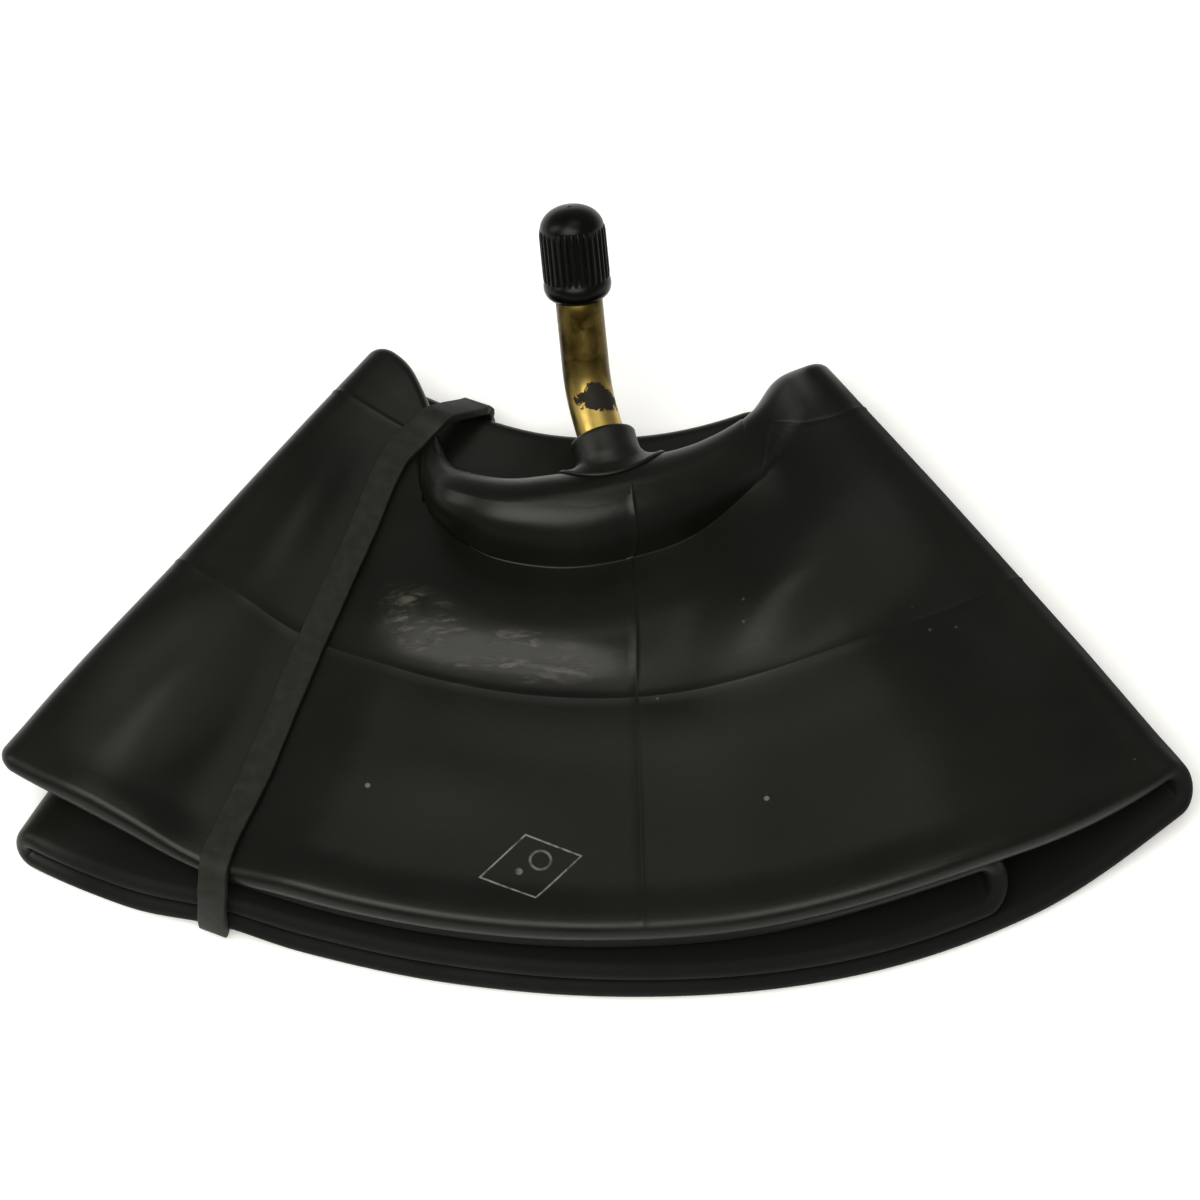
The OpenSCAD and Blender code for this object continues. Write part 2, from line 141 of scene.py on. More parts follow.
def keyed(x, keys):
    """A smooth curve through the keys, level at its ends."""
    at, value = np.array(keys, float).T
    slope = np.zeros_like(at)
    slope[1:-1] = (value[2:] - value[:-2]) / (at[2:] - at[:-2])
    x = np.clip(x, at[0], at[-1])
    i = np.clip(np.searchsorted(at, x, side="right") - 1, 0, len(at) - 2)
    w = at[i + 1] - at[i]
    return hermite((x - at[i]) / w, value[i], value[i + 1], w * slope[i], w * slope[i + 1])


def degrees(length, r):
    return np.degrees(length / r)


def polar(r, a, z):
    a = np.radians(a)
    x = FAN_CENTRE[0] + r * np.sin(a)
    y = FAN_CENTRE[1] - r * np.cos(a)
    return np.stack(np.broadcast_arrays(x, y, z), -1)


# ---------- the folded tube's shape ----------
def hub_r(k, a):
    top = keyed(a, HUB_OUTLINE)
    return {1: top, 2: HUB_R + 1.5 + 0.75 * (top - HUB_R), 3: HUB_R + 0.3 + 0 * top,
            4: HUB_R + 0 * top}[k]


def rim_r(k, a):
    if k == 1:
        return TREAD_R + keyed(a, UPPER_RIM)
    return TREAD_R + (keyed(a, LOWER_RIM) + k - 3 if k > 2 else -1.2 + 0 * a)


def squeeze(a, r):
    """How hard the rubber band presses, from 0 to 1 under it."""
    return hump(np.radians(a - keyed(r, BAND_LINE)) * r, 15)


def lip_reach(a):
    return EDGE_R + 1.15 * (keyed(a, LIP_HEIGHT) - EDGE_R)


def panel_puff(a, r):
    """The slack panel between the lip and the seam, falling steeply on the left and gently on
    the right."""
    fall = mix(9, 24, unit_step((a + 2) / 14))
    edge = 114.5 + 0.45 * (fall - 9)
    height = mix(1.75, 1.25, unit_step((a + 3) / 12))
    crease = hub_r(1, a) + lip_reach(a) + keyed(a, LIP_ROLL)
    height = height * mix(0.2, 1, unit_step((r - crease + 2) / 15))
    return height * unit_step((25 - np.abs(a + 1)) / 11) * unit_step((edge - r) / fall)


def seam_swell(a, r):
    """The low swell just beyond the seam."""
    return 0.17 * hump(r - 121, 9) * unit_step((38 - np.abs(a)) / 28)


def hub_puff(a, r):
    """The roll along the hub edge: round on top, ending in a crease."""
    u = np.clip((r - hub_r(1, a) - lip_reach(a)) / keyed(a, LIP_ROLL), 0, 1)
    floor = panel_puff(a, r)
    roll = (1 - 0.3 * u) * (1 - u ** 4) ** 1.3
    return floor + np.maximum(keyed(a, LIP_HEIGHT) - LAYER_HALF - floor, 0) * roll


def tread_bulge(a, r):
    return 0.5 * unit_step((r - rim_r(1, a) + 9) / 7)


def swells(a, r):
    """The low swells and dents of the slack rubber."""
    x = FAN_CENTRE[0] + r * np.sin(np.radians(a))
    y = FAN_CENTRE[1] - r * np.cos(np.radians(a))
    total = 0 * r
    for cx, cy, along, across, turn, height in SWELLS:
        c, s = math.cos(math.radians(turn)), math.sin(math.radians(turn))
        u, v = (x - cx) * c + (y - cy) * s, (y - cy) * c - (x - cx) * s
        total = total + height * np.exp(-((u / along) ** 2) - (v / across) ** 2)
    return total * (1 - squeeze(a, r))


def half_thickness(k, a, r):
    free = LAYER_HALF
    if k == 1:
        free = free + hub_puff(a, r) + seam_swell(a, r) + tread_bulge(a, r) + swells(a, r)
    return mix(free, 1.72, 0.9 * squeeze(a, r))


def right_rise(a):
    return 3.8 * unit_step((a - 25) / 13)


def left_gap(a, r):
    return 2.8 * unit_step((-a - 25) / 9) * unit_step((r - 105) / 45)


def gap(k, a, r):
    free = LAYER_GAP + (0.6 + left_gap(a, r) + 2.6 * hump(a - 21, 15) if k == 2 else 0)
    return mix(free, 0.15, squeeze(a, r))


def under(k, a, r):
    """Height of a layer's lower wall."""
    if k == 4:
        return right_rise(a) + (BAND_T + 0.25) * squeeze(a, r)
    if k == 1:
        b = np.minimum(a, 21)
        drop = 6.8 * unit_step((a - 21) / 16)
        return under(2, b, r) + 2 * half_thickness(2, b, r) + gap(1, b, r) - drop
    return under(k + 1, a, r) + 2 * half_thickness(k + 1, a, r) + gap(k, a, r)


def middle(k, a, r):
    return under(k, a, r) + half_thickness(k, a, r)


def slope(k, a, r):
    return (middle(k, a + 0.3, r) - middle(k, a - 0.3, r)) / np.radians(0.6) / r


# (upper layer, layer it turns into, direction, tip angle at the hub and at the tread, length)
RIGHT_OUTER = (1, 4, 1, FAN_HALF + 1.1, FAN_HALF - 0.4, 4.6)
LEFT_LOWER = (4, 3, -1, -FAN_HALF - 1, -35.8, 4.1)
RIGHT_INNER = (3, 2, 1, 28, 24.6, 5.0)
LEFT_UPPER = (2, 1, -1, -FAN_HALF - 1.8, -FAN_HALF, 4.1)
# The walk round the ring: (layer, the fold before it, the fold after it)
WALK = [(1, LEFT_UPPER, RIGHT_OUTER), (4, RIGHT_OUTER, LEFT_LOWER), (3, LEFT_LOWER, RIGHT_INNER),
        (2, RIGHT_INNER, LEFT_UPPER)]


def fold_angle(f, r):
    return mix(f[3], f[4], (r - 60) / 100) - f[2] * degrees(f[5], r)


def layer_station(leg, t, r):
    k, before, after = leg
    a = mix(fold_angle(before, r), fold_angle(after, r), t)
    if k == 1:
        a = a + 0.0128 * (99 - r) * hump(a - SPLICE_ANGLE, 10)
    s, d = slope(k, a, r), after[2]
    n = np.sqrt(1 + s * s)
    ends = np.maximum(unit_step(1 - t * 12), unit_step(1 - (1 - t) * 12))
    half = mix(half_thickness(k, a, r), FOLD_HALF, ends)
    return a, middle(k, a, r), -s * d / n, d / n, half


def fold_station(f, t, r):
    a, d, m = fold_angle(f, r), f[2], 4 * (f[5] - FOLD_HALF)
    ends = middle(f[0], a, r), middle(f[1], a, r)
    rise = m * d * slope(f[0], a, r), -m * d * slope(f[1], a, r)
    e = 0.01
    ds = hermite(t + e, 0, 0, m * d, -m * d) - hermite(t - e, 0, 0, m * d, -m * d)
    dz = hermite(t + e, *ends, *rise) - hermite(t - e, *ends, *rise)
    n = np.hypot(ds, dz)
    s = hermite(t, 0, 0, m * d, -m * d)
    return a + degrees(s, r), hermite(t, *ends, *rise), -dz / n, ds / n, FOLD_HALF + 0 * r


def rows_across(hub, rim, reach, start, seam):
    """Rows across one face of the flattened tube, at [stations, rows]: (distance from the hub
    edge, share of the half thickness, which seam's ridge the row is on, height of that ridge)."""
    cap = np.linspace(0, 90, CAP_ROWS, endpoint=False)
    stops = [reach, start, seam - hub, rim - hub - EDGE_R]
    quarter = [(1 - math.cos(p), math.sin(p)) for p in np.radians(cap)]
    out = [(reach * w, share, 0, 0) for w, share in quarter]
    for i, n in enumerate(FLAT_ROWS):
        ridge_low = RIDGE_HALF if i > 0 else 0
        ridge_high = -RIDGE_HALF if i < 2 else 0
        low, high = stops[i] + ridge_low, stops[i + 1] + ridge_high
        last = i == len(FLAT_ROWS) - 1
        for t in np.linspace(0, 1, n, endpoint=last) ** ROW_CROWDING[i]:
            out.append((mix(low, high, t), 1, 0, 0))
        if not last:
            for off, height in RIDGE[:-1]:
                out.append((stops[i + 1] + off, 1, i + 1, height))
    out += [(rim - hub - EDGE_R * w, share, 0, 0) for w, share in quarter[::-1]]
    return out


CAP_ROWS = 10
FLAT_ROWS = [14, 24, 28]
ROW_CROWDING = [1, 1.2, 1]
RIDGE = [(-0.36, 0), (-0.16, 0.75), (0, 1), (0.16, 0.75), (0.36, 0)]
RIDGE_HALF = RIDGE[-1][0]
PANEL_STATIONS = 112
FOLD_STATIONS = 18
SEAM_HEIGHT = 0.1


def tube_stations():
    """[leg, on a fold, place along it] for each station round the ring."""
    out = []
    splice = None
    for leg in WALK:
        steps = list(np.arange(PANEL_STATIONS) / PANEL_STATIONS)
        if leg[0] == 1:
            a0, a1 = fold_angle(leg[1], 65), fold_angle(leg[2], 65)
            splice = (SPLICE_ANGLE - a0) / (a1 - a0)
            width = degrees(RIDGE_HALF, SEAM_R) / (a1 - a0)
            steps = [s for s in steps if abs(s - splice) > width * 1.8]
            steps += [splice + width * off / RIDGE_HALF for off, _ in RIDGE]
            steps.sort()
        out += [(leg, False, t) for t in steps]
        out += [(leg, True, t) for t in np.arange(FOLD_STATIONS) / FOLD_STATIONS]
    return out, splice


def tube_section(leg, fold, t, splice):
    """One closed section of the tube, as points in order round it."""
    k, before, after = leg
    first, last = fold_angle(before, 65), fold_angle(after, 65)
    nominal = np.float64(last if fold else mix(first, last, t))
    if fold:
        e = unit_step(t)
        other = after[1] if after[0] == k else after[0]
        hub = mix(hub_r(k, nominal), hub_r(other, nominal), e)
        rim = mix(rim_r(k, nominal), rim_r(other, nominal), e)
    else:
        hub, rim = hub_r(k, nominal), rim_r(k, nominal)
    reach = lip_reach(nominal) if k == 1 and not fold else EDGE_R
    start = max(SHOULDER_R - hub, reach + 1.5)
    if k == 1 and not fold:
        crease = reach + keyed(nominal, LIP_ROLL)
        start = mix(crease, start, unit_step((abs(nominal) - 17) / 6))
    seam = SEAM_R + (keyed(nominal, SEAM_LINE) if k == 1 and not fold else 0.5)
    rows = rows_across(*map(float, (hub, rim, reach, start, seam)))
    w, share, seam, height = np.array(rows, float).T
    r = hub + np.maximum(w, reach)
    a, z, nt, nz, half = fold_station(after, t, r) if fold else layer_station(leg, t, r)
    ridge = SEAM_HEIGHT * height * np.where(seam == 1, unit_step((np.abs(a) - 17) / 6), 1)
    if k == 1 and not fold:
        width = degrees(RIDGE_HALF, SEAM_R) / (last - first)
        splice_ridge = np.interp(abs(t - splice) / width, [0, 0.45, 1], [1, 0.75, 0])
        ridge = np.maximum(ridge, SEAM_HEIGHT * splice_ridge)
    half = half + ridge
    p = polar(hub + w, a, z)
    ra = np.radians(a)
    n = np.stack([nt * np.cos(ra), nt * np.sin(ra), nz], -1)
    lift = (share * half)[:, None] * n
    return np.concatenate([p + lift, (p - lift)[-2:0:-1]])


# ---------- meshes ----------
def make_mesh(name, points, faces, smooth=True):
    """A piece from points in millimetres."""
    mesh = bpy.data.meshes.new(name)
    mesh.from_pydata((np.asarray(points) * MM).tolist(), [], [tuple(f) for f in faces])
    mesh.update()
    if smooth:
        mesh.polygons.foreach_set("use_smooth", [True] * len(mesh.polygons))
    piece = bpy.data.objects.new(name, mesh)
    bpy.context.scene.collection.objects.link(piece)
    return piece


def ring_faces(n, m, closed=True, offset=0):
    """Faces between n rings of m points; closed also joins the last ring to the first."""
    faces = []
    for i in range(n if closed else n - 1):
        a, b = i * m + offset, (i + 1) % n * m + offset
        faces += [(a + j, b + j, b + (j + 1) % m, a + (j + 1) % m) for j in range(m)]
    return faces


def ride_and_stand_for(piece, body, nodes, material):
    piece.data.materials.clear()
    piece.data.materials.append(material)
    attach(piece, body)
    if nodes:
        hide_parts(*nodes)
    return piece


# ---------- grown pieces ----------
def node_tree(name, inputs):
    """An empty Geometry Nodes tree with named inputs: (name, kind)."""
    tree = bpy.data.node_groups.new(name, "GeometryNodeTree")
    tree.interface.new_socket("Geometry", in_out="INPUT", socket_type="NodeSocketGeometry")
    for label, kind in inputs:
        tree.interface.new_socket(label, in_out="INPUT", socket_type="NodeSocket" + kind)
    tree.interface.new_socket("Geometry", in_out="OUTPUT", socket_type="NodeSocketGeometry")
    return tree, tree.nodes.new("NodeGroupInput"), tree.nodes.new("NodeGroupOutput")


def finish_tree(tree, start, end, geometry):
    """Ends a tree with real geometry in one material."""
    real = tree.nodes.new("GeometryNodeRealizeInstances")
    smooth = tree.nodes.new("GeometryNodeSetShadeSmooth")
    paint = tree.nodes.new("GeometryNodeSetMaterial")
    tree.links.new(geometry, real.inputs["Geometry"])
    tree.links.new(real.outputs["Geometry"], smooth.inputs["Geometry"])
    tree.links.new(smooth.outputs["Geometry"], paint.inputs["Geometry"])
    tree.links.new(start.outputs["Material"], paint.inputs["Material"])
    tree.links.new(paint.outputs["Geometry"], end.inputs["Geometry"])
    return tree


def circle_tree():
    """Copies of the piece set out evenly round the z axis."""
    tree, start, end = node_tree("round_the_axis", [("Count", "Int"), ("Material", "Material")])
    link = tree.links.new
    circle = tree.nodes.new("GeometryNodeMeshCircle")
    circle.inputs["Radius"].default_value = 1e-6
    link(start.outputs["Count"], circle.inputs["Vertices"])
    index = tree.nodes.new("GeometryNodeInputIndex")
    share = tree.nodes.new("ShaderNodeMath")
    share.operation = "DIVIDE"
    link(index.outputs[0], share.inputs[0])
    link(start.outputs["Count"], share.inputs[1])
    angle = tree.nodes.new("ShaderNodeMath")
    angle.operation = "MULTIPLY"
    angle.inputs[1].default_value = 2 * math.pi
    link(share.outputs[0], angle.inputs[0])
    euler = tree.nodes.new("ShaderNodeCombineXYZ")
    link(angle.outputs[0], euler.inputs["Z"])
    rotation = tree.nodes.new("FunctionNodeEulerToRotation")
    link(euler.outputs[0], rotation.inputs[0])
    copies = tree.nodes.new("GeometryNodeInstanceOnPoints")
    link(circle.outputs["Mesh"], copies.inputs["Points"])
    link(start.outputs["Geometry"], copies.inputs["Instance"])
    link(rotation.outputs[0], copies.inputs["Rotation"])
    return finish_tree(tree, start, end, copies.outputs["Instances"])


def wound_tree():
    """A round wire wound right-handed about the z axis, from z = 0 up."""
    tree, start, end = node_tree("wound_about_the_axis", [
        ("Turns", "Float"), ("Radius", "Float"), ("Height", "Float"), ("Wire", "Float"),
        ("Material", "Material")])
    link = tree.links.new
    spiral = tree.nodes.new("GeometryNodeCurveSpiral")
    spiral.inputs["Resolution"].default_value = 64
    spiral.inputs["Reverse"].default_value = True
    link(start.outputs["Turns"], spiral.inputs["Rotations"])
    link(start.outputs["Radius"], spiral.inputs["Start Radius"])
    link(start.outputs["Radius"], spiral.inputs["End Radius"])
    link(start.outputs["Height"], spiral.inputs["Height"])
    wire = tree.nodes.new("GeometryNodeCurvePrimitiveCircle")
    wire.inputs["Resolution"].default_value = 10
    link(start.outputs["Wire"], wire.inputs["Radius"])
    wound = tree.nodes.new("GeometryNodeCurveToMesh")
    wound.inputs["Fill Caps"].default_value = True
    link(spiral.outputs["Curve"], wound.inputs["Curve"])
    link(wire.outputs["Curve"], wound.inputs["Profile Curve"])
    return finish_tree(tree, start, end, wound.outputs["Mesh"])


def grown(piece, tree, values, place):
    """Runs a node tree on the piece, keeps its plain mesh, and moves that to its place."""
    modifier = piece.modifiers.new("grow", "NODES")
    modifier.node_group = tree
    for item in tree.interface.items_tree:
        if item.in_out == "INPUT" and item.name in values:
            modifier[item.identifier] = values[item.name]
    graph = bpy.context.evaluated_depsgraph_get()
    mesh = bpy.data.meshes.new_from_object(piece.evaluated_get(graph))
    piece.modifiers.clear()
    mesh.transform(place)
    piece.data = mesh
    return piece


# ---------- materials ----------
def new_material(name):
    material = bpy.data.materials.new(name)
    material.use_nodes = True
    tree = material.node_tree
    return material, tree, tree.nodes["Principled BSDF"]


class Mixer:
    """Short ways to wire a material that reads a point's place on the object."""

    def __init__(self, name):
        self.material, self.tree, self.shader = new_material(name)
        self.place = self.add("ShaderNodeTexCoord").outputs["Object"]
        flat = self.add("ShaderNodeVectorMath", operation="MULTIPLY")
        flat.inputs[1].default_value = (1, 1, 0)
        self.link(self.place, flat.inputs[0])
        self.flat = flat.outputs[0]
        split = self.add("ShaderNodeSeparateXYZ")
        self.link(self.place, split.inputs[0])
        self.x, self.y, self.z = split.outputs

    def add(self, kind, **settings):
        node = self.tree.nodes.new(kind)
        for key, value in settings.items():
            setattr(node, key, value)
        return node

    def link(self, a, b):
        self.tree.links.new(a, b)

    def put(self, socket, value):
        if isinstance(value, bpy.types.NodeSocket):
            self.link(value, socket)
        else:
            socket.default_value = value

    def calc(self, operation, *values, clamp=False):
        node = self.add("ShaderNodeMath", operation=operation, use_clamp=clamp)
        for socket, value in zip(node.inputs, values):
            self.put(socket, value)
        return node.outputs[0]

    def ramp(self, value, low, high, to_low=0.0, to_high=1.0):
        """Smooth change from to_low to to_high while value goes from low to high."""
        node = self.add("ShaderNodeMapRange", interpolation_type="SMOOTHSTEP")
        for key, v in (("Value", value), ("From Min", low), ("From Max", high),
                       ("To Min", to_low), ("To Max", to_high)):
            self.put(node.inputs[key], v)
        return node.outputs["Result"]

    def noise(self, scale, detail=3.0, distortion=0.0, rough=0.5, place=None):
        node = self.add("ShaderNodeTexNoise")
        for key, v in (("Scale", scale), ("Detail", detail), ("Distortion", distortion),
                       ("Roughness", rough)):
            node.inputs[key].default_value = v
        self.link(place or self.place, node.inputs["Vector"])
        return node.outputs["Fac"]

    def away(self, point, flat=True):
        """Distance from a point in millimetres, seen from above unless flat is off."""
        node = self.add("ShaderNodeVectorMath", operation="DISTANCE")
        self.link(self.flat if flat else self.place, node.inputs[0])
        node.inputs[1].default_value = [v * MM for v in point]
        return self.calc("MULTIPLY", node.outputs["Value"], 1000)

    def along(self, centre, direction):
        """How far along a direction a point lies from the centre, in lengths of the direction."""
        node = self.add("ShaderNodeVectorMath", operation="SUBTRACT")
        self.link(self.flat, node.inputs[0])
        node.inputs[1].default_value = (centre[0] * MM, centre[1] * MM, 0)
        dot = self.add("ShaderNodeVectorMath", operation="DOT_PRODUCT")
        self.link(node.outputs[0], dot.inputs[0])
        scale = 1000 / (direction[0] ** 2 + direction[1] ** 2)
        dot.inputs[1].default_value = (direction[0] * scale, direction[1] * scale, 0)
        return dot.outputs["Value"]

    def oval(self, centre, direction, width):
        """1 in the middle of an oval patch, 0 outside it."""
        u = self.along(centre, direction)
        side = (-direction[1] * width, direction[0] * width)
        v = self.along(centre, side)
        square = self.calc("ADD", self.calc("MULTIPLY", u, u), self.calc("MULTIPLY", v, v))
        return self.ramp(square, 1.0, 0.1)

    def line(self, value, centre, half, soft):
        """1 where value is within half of centre."""
        off = self.calc("ABSOLUTE", self.calc("SUBTRACT", value, centre))
        return self.ramp(off, half + soft, half)

    def mixed(self, share, a, b):
        node = self.add("ShaderNodeMix", data_type="RGBA")
        for socket, value in ((node.inputs[0], share), (node.inputs[6], a), (node.inputs[7], b)):
            self.put(socket, (*value, 1) if isinstance(value, tuple) else value)
        return node.outputs[2]

    def bump(self, height, distance, strength=1.0):
        node = self.add("ShaderNodeBump")
        node.inputs["Strength"].default_value = strength
        node.inputs["Distance"].default_value = distance * MM
        self.link(height, node.inputs["Height"])
        self.link(node.outputs["Normal"], self.shader.inputs["Normal"])


def rubber_material(name):
    m = Mixer(name)
    cloud = m.noise(45, 4)
    colour = m.mixed(m.ramp(cloud, 0.35, 0.7), (0.003, 0.0033, 0.0019), (0.0048, 0.0051, 0.0034))
    upper = m.ramp(m.z, 12.5 * MM, 14 * MM)

    # talc smears in the hollow beyond the lip, and a painted highlight on two swells
    drawn_out = m.add("ShaderNodeMapping")
    drawn_out.inputs["Rotation"].default_value = (0, 0, math.radians(20))
    drawn_out.inputs["Scale"].default_value = (0.4, 1.5, 1)
    m.link(m.place, drawn_out.inputs["Vector"])
    streaks = m.noise(420, 8, 1.1, 0.68, drawn_out.outputs["Vector"])
    wisps = m.noise(120, 3, 1.5, 0.5, drawn_out.outputs["Vector"])
    smear = m.calc("MULTIPLY", m.ramp(streaks, 0.44, 0.66), m.ramp(wisps, 0.36, 0.6))
    region = m.calc("MAXIMUM", m.oval((-27.8, -4.4), (9, -10), 0.45),
                    m.oval((-11, -9), (12.5, -1.8), 0.4))
    smear = m.calc("MULTIPLY", m.calc("MULTIPLY", smear, region), upper)
    haze = m.calc("MULTIPLY", m.calc("MULTIPLY", region, m.ramp(wisps, 0.3, 0.7)), upper)
    talc_haze_and_painted_sheen_colour = (0.05, 0.048, 0.041)
    colour = m.mixed(m.calc("MULTIPLY", haze, 0.12), colour, talc_haze_and_painted_sheen_colour)
    # painted highlight: pale patches on the left and right swells stand in for the sheen of light
    # on them, in the talc haze colour
    left_painted_sheen = m.calc("MULTIPLY", m.oval((-71, -14), (15, 19), 0.55), 0.2)
    right_painted_sheen = m.calc("MULTIPLY", m.oval((41, 5), (15, 17), 0.5), 0.12)
    colour = m.mixed(m.calc("MAXIMUM", left_painted_sheen, right_painted_sheen), colour, talc_haze_and_painted_sheen_colour)
    colour = m.mixed(m.calc("MULTIPLY", smear, 0.55), colour, (0.11, 0.1, 0.085))

    # dust: fine specks, thicker along the right of the seam, and two crumbs
    cells = m.add("ShaderNodeTexVoronoi")
    cells.inputs["Scale"].default_value = 420
    m.link(m.place, cells.inputs["Vector"])
    pick = m.add("ShaderNodeSeparateColor")
    m.link(cells.outputs["Color"], pick.inputs[0])
    dusty = m.calc("MAXIMUM", m.oval((52, -2), (26, 16), 0.2), 0.04)
    few = m.ramp(pick.outputs[0], m.calc("SUBTRACT", 1.0, m.calc("MULTIPLY", dusty, 0.3)), 1.0)
    speck = m.calc("MULTIPLY", m.ramp(cells.outputs["Distance"], 0.16, 0.08),
                   m.calc("GREATER_THAN", few, 0.05))
    speck = m.calc("MULTIPLY", m.calc("MULTIPLY", speck, upper), 0.1)
    colour = m.mixed(speck, colour, (0.3, 0.3, 0.28))
    for crumb in ((-38, -32.5, 0), (27.3, -35.2, 0)):
        share = m.calc("MULTIPLY", m.ramp(m.away(crumb), 0.55, 0.3), upper)
        colour = m.mixed(share, colour, (0.1, 0.1, 0.085))

    # a plain rhombus and ring in pale ink
    left, top, right = np.array((-19.5, -49.4)), np.array((-12.1, -41.6)), np.array((-3.0, -45.5))
    e1, e2 = (top - left) / 2, (right - top) / 2
    centre = left + e1 + e2
    det = e1[0] * e2[1] - e1[1] * e2[0]
    duals = np.array((e2[1], -e2[0])) / det, np.array((-e1[1], e1[0])) / det
    sides = [m.calc("ABSOLUTE", m.along(centre, d / (d @ d))) for d in duals]
    frame_line = m.line(m.calc("MAXIMUM", *sides), 1.0, 0.02, 0.02)
    ring = m.line(m.away((centre[0] + 1.6, centre[1] + 1.2, 0)), 1.7, 0.16, 0.12)
    dot = m.ramp(m.away((centre[0] - 1.9, centre[1] - 0.9, 0)), 0.75, 0.5)
    ink = m.calc("MAXIMUM", frame_line, m.calc("MULTIPLY", m.calc("MAXIMUM", ring, dot), 0.6))
    worn = m.ramp(m.noise(700, 4), 0.3, 0.62, 0.15, 0.6)
    ink = m.calc("MULTIPLY", m.calc("MULTIPLY", ink, upper), worn)
    colour = m.mixed(ink, colour, (0.24, 0.27, 0.25))

    # painted shade: the folds beneath are darkened in colour, more towards the right, and made matt
    painted_fold_shade = m.calc("MULTIPLY", m.ramp(m.z, 13.4 * MM, 11.4 * MM),
                  m.ramp(m.calc("SUBTRACT", m.x, m.calc("MULTIPLY", m.y, 1.5)), -45 * MM, -18 * MM))
    # painted shade: near-black colour mixed in where the lower layers lie in shadow
    colour = m.mixed(m.calc("MULTIPLY", painted_fold_shade, 0.9), colour, (0.0004, 0.0004, 0.0003))
    m.link(colour, m.shader.inputs["Base Color"])
    m.shader.inputs["Specular IOR Level"].default_value = 0.19
    gloss = m.calc("ADD", m.ramp(cloud, 0.3, 0.7, 0.3, 0.4), m.calc("MULTIPLY", haze, 0.15))
    m.link(m.calc("ADD", gloss, m.calc("MULTIPLY", painted_fold_shade, 0.4)), m.shader.inputs["Roughness"])
    m.bump(m.noise(900, 3), 0.2, 0.12)
    return m.material


def brass_material(name):
    m = Mixer(name)
    patches = m.noise(300, 4, 0.6)
    height = m.calc("ADD", m.calc("MULTIPLY", m.y, 1000), m.calc("MULTIPLY", patches, 5))
    dull = m.ramp(height, 38.5, 43.5)
    dull = m.calc("MULTIPLY", dull, m.ramp(patches, 0.3, 0.75, 1.0, 0.75))
    colour = m.mixed(dull, (0.42, 0.302, 0.084), (0.042, 0.0275, 0.0056))
    up = m.calc("ABSOLUTE", m.calc("SUBTRACT", m.calc("MULTIPLY", m.y, 1000), FLASH_POINT[1]))
    flash = m.calc("ADD", m.away(FLASH_POINT, flat=False), m.calc("MULTIPLY", up, 0.8))
    flash = m.calc("ADD", flash, m.calc("MULTIPLY", m.noise(620, 6, 1.2, 0.75), 9))
    black = m.ramp(flash, 8.9, 8.4)
    colour = m.mixed(black, colour, (0.012, 0.009, 0.006))
    m.link(colour, m.shader.inputs["Base Color"])
    m.link(m.calc("SUBTRACT", 1.0, black), m.shader.inputs["Metallic"])
    gloss = m.ramp(patches, 0.3, 0.7, 0.3, 0.44)
    m.link(m.calc("ADD", gloss, m.calc("MULTIPLY", black, 0.3)), m.shader.inputs["Roughness"])
    m.shader.inputs["Specular IOR Level"].default_value = 0.15
    m.bump(m.noise(1500, 4), 0.1, 0.15)
    return m.material


def grained_material(name, dark, light, gloss, specular=0.5, metallic=0.0, relief=0.15):
    """A fine-grained finish between two colours and two roughnesses."""
    m = Mixer(name)
    m.link(m.mixed(m.ramp(m.noise(500, 5), 0.35, 0.7), dark, light), m.shader.inputs["Base Color"])
    m.link(m.ramp(m.noise(140, 4), 0.3, 0.7, *gloss), m.shader.inputs["Roughness"])
    m.shader.inputs["Specular IOR Level"].default_value = specular
    m.shader.inputs["Metallic"].default_value = metallic
    m.bump(m.noise(1200, 4), 0.2, relief)
    return m.material


# ---------- the tube ----------
def make_tube():
    stations, splice = tube_stations()
    sections = [tube_section(leg, fold, t, splice) for leg, fold, t in stations]
    m = len(sections[0])
    return make_mesh("inner_tube", np.concatenate(sections), ring_faces(len(sections), m))


# ---------- the patch, collar and stem ----------
def lip_point(a, l):
    """A point on the top layer near its hub edge, l millimetres round that edge from its tip."""
    reach = lip_reach(a)
    quarter = reach * math.pi / 2
    turn = np.minimum(np.abs(l) / quarter, 1) * math.pi / 2
    q = np.where(np.abs(l) < quarter, reach * (1 - np.cos(turn)), reach + np.abs(l) - quarter)
    e = hub_r(1, a) + np.maximum(q, reach)
    rise = np.sign(l) * np.sin(turn) * half_thickness(1, a, e)
    return polar(hub_r(1, a) + q, a, middle(1, a, e) + rise)


def lip_normal(a, l):
    n = np.cross(lip_point(a, l + 0.4) - lip_point(a, l - 0.4),
                 lip_point(a + 0.3, l) - lip_point(a - 0.3, l))
    return n / np.linalg.norm(n, axis=-1, keepdims=True)


def on_lip(radius, turn, off):
    """Points round the valve, at a radius over the rubber and an offset off it."""
    a = VALVE_ANGLE + degrees(radius * np.cos(turn), 74)
    l = radius * np.sin(turn)
    return lip_point(a, l) + off * lip_normal(a, l)


def turns(n):
    return np.arange(n) * 2 * math.pi / n


def disc_piece(name, rings, poles):
    """A closed disc from rings of points, the first and last ring each closed by a pole."""
    m = len(rings[0])
    n = len(rings)
    faces = ring_faces(n, m, closed=False)
    faces += [(n * m, (j + 1) % m, j) for j in range(m)]
    faces += [(n * m + 1, (n - 1) * m + j, (n - 1) * m + (j + 1) % m) for j in range(m)]
    return make_mesh(name, np.concatenate([*rings, poles]), faces)


def outward(piece):
    """Turns the faces of a closed piece outwards."""
    mesh = piece.data
    co = np.array([v.co for v in mesh.vertices])
    volume = 0
    for p in mesh.polygons:
        v = co[list(p.vertices)]
        for i in range(1, len(v) - 1):
            volume += np.dot(v[0], np.cross(v[i], v[i + 1]))
    if volume < 0:
        mesh.flip_normals()
    return piece


